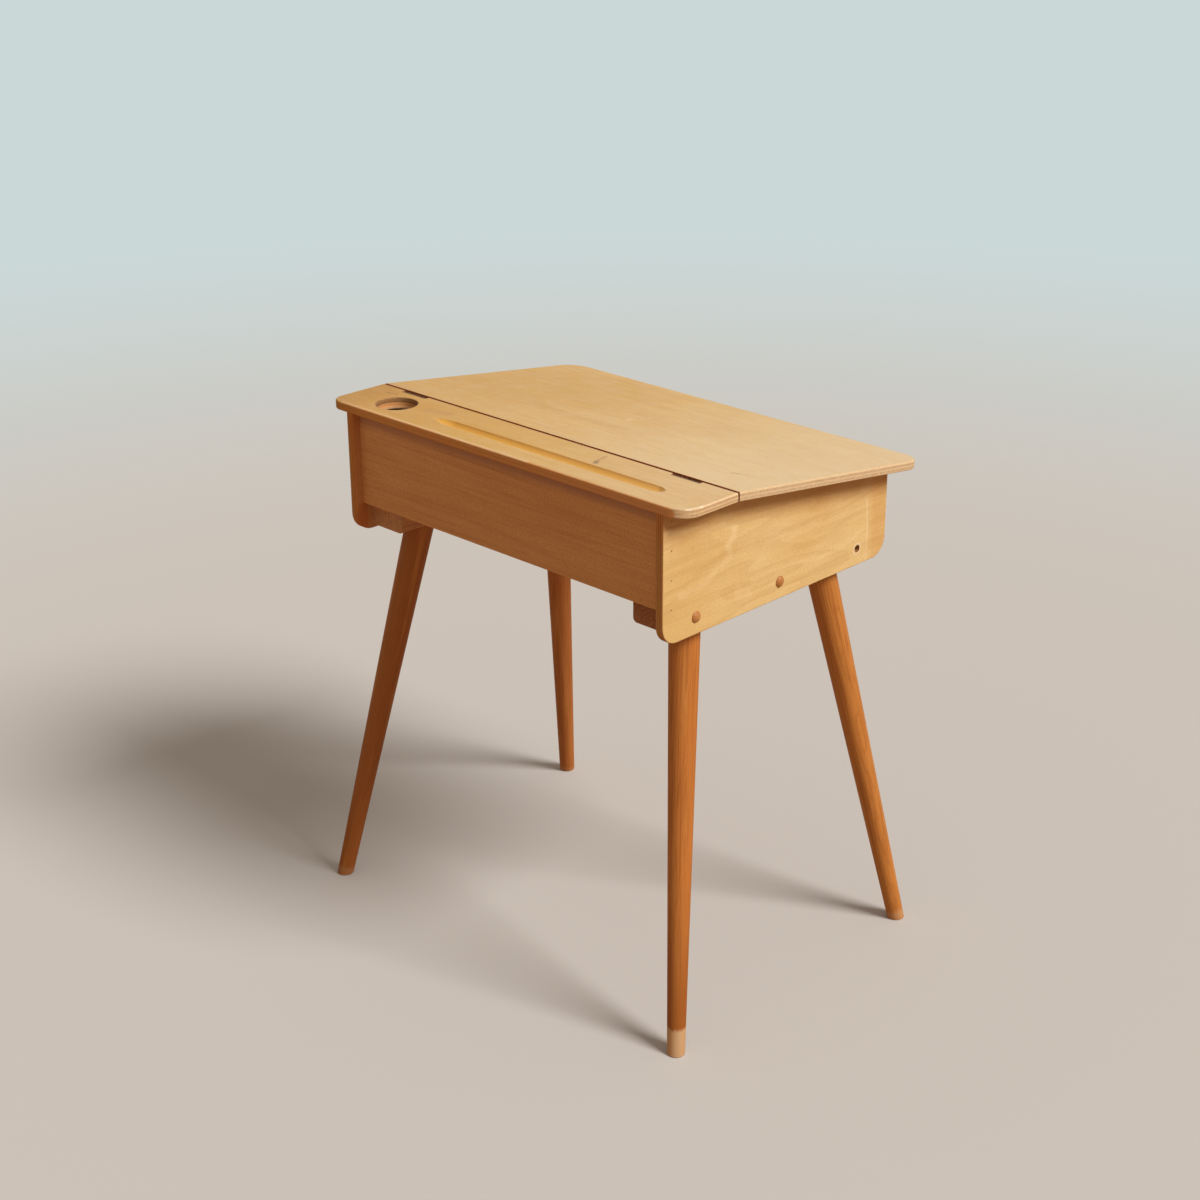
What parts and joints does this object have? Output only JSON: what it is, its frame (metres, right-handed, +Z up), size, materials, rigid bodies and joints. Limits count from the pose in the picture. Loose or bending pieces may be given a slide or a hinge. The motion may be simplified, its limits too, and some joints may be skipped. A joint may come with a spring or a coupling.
{
  "type": "school desk",
  "caption": "School desk with a sloping hinged lid over a shallow storage box, a level strip with pen groove and inkwell hole, and splayed round tapered legs.",
  "frame": {"origin": "on the floor, in the middle of the bounding box", "axes": "+X to the pupil's right, where the inkwell hole is; +Y away from the pupil, towards the level strip; +Z up"},
  "size_m": [0.6902, 0.4959, 0.734],
  "materials": {
    "beech_ply_top": "clear varnished beech plywood, worn satin",
    "beech_ply_side": "clear varnished beech plywood, golden, satin",
    "thin_ply": "thin plywood, varnished, satin",
    "stained_beech_leg": "turned beech, reddish brown stain, satin varnish",
    "stained_beech_rail": "planed beech, reddish brown stain, satin varnish",
    "cap_wood": "turned beech cap, varnished",
    "dowel_wood": "plain beech dowel",
    "hinge_bronze": "dull browned brass",
    "screw_steel": "dull steel",
    "pin_steel": "dull steel"
  },
  "bodies": {
    "desk": {"back_panel": "thin_ply", "back_panel_pins_left": "pin_steel", "back_panel_pins_right": "pin_steel", "bottom_board": "thin_ply", "bottom_board_pins": "pin_steel", "front_panel": "thin_ply", "hinge_left_fixed_leaf": "hinge_bronze", "hinge_left_fixed_screws": "screw_steel", "hinge_left_pin": "hinge_bronze", "hinge_right_fixed_leaf": "hinge_bronze", "hinge_right_fixed_screws": "screw_steel", "hinge_right_pin": "hinge_bronze", "inkwell_plate": "thin_ply", "leg_back_left": "stained_beech_leg", "leg_back_right": "stained_beech_leg", "leg_front_left": "stained_beech_leg", "leg_front_right": "stained_beech_leg", "leg_rail_left": "stained_beech_rail", "leg_rail_right": "stained_beech_rail", "pen_tray_strip": "beech_ply_top", "rail_screws_left": "screw_steel", "rail_screws_right": "screw_steel", "screw_caps_left": "cap_wood", "screw_caps_right": "cap_wood", "side_panel_left": "beech_ply_side", "side_panel_right": "beech_ply_side", "strip_dowels": "dowel_wood"},
    "lid": {"lid": "beech_ply_top", "hinge_left_lid_leaf": "hinge_bronze", "hinge_right_lid_leaf": "hinge_bronze", "hinge_left_lid_screws": "screw_steel", "hinge_right_lid_screws": "screw_steel"}
  },
  "joints": [
    {"name": "lid_hinge", "type": "hinge", "parent": "desk", "child": "lid", "pos_m": [0, 0.12881, 0.7308], "axis": [-1, 0, 0], "range_deg": [0, 110]}
  ]
}
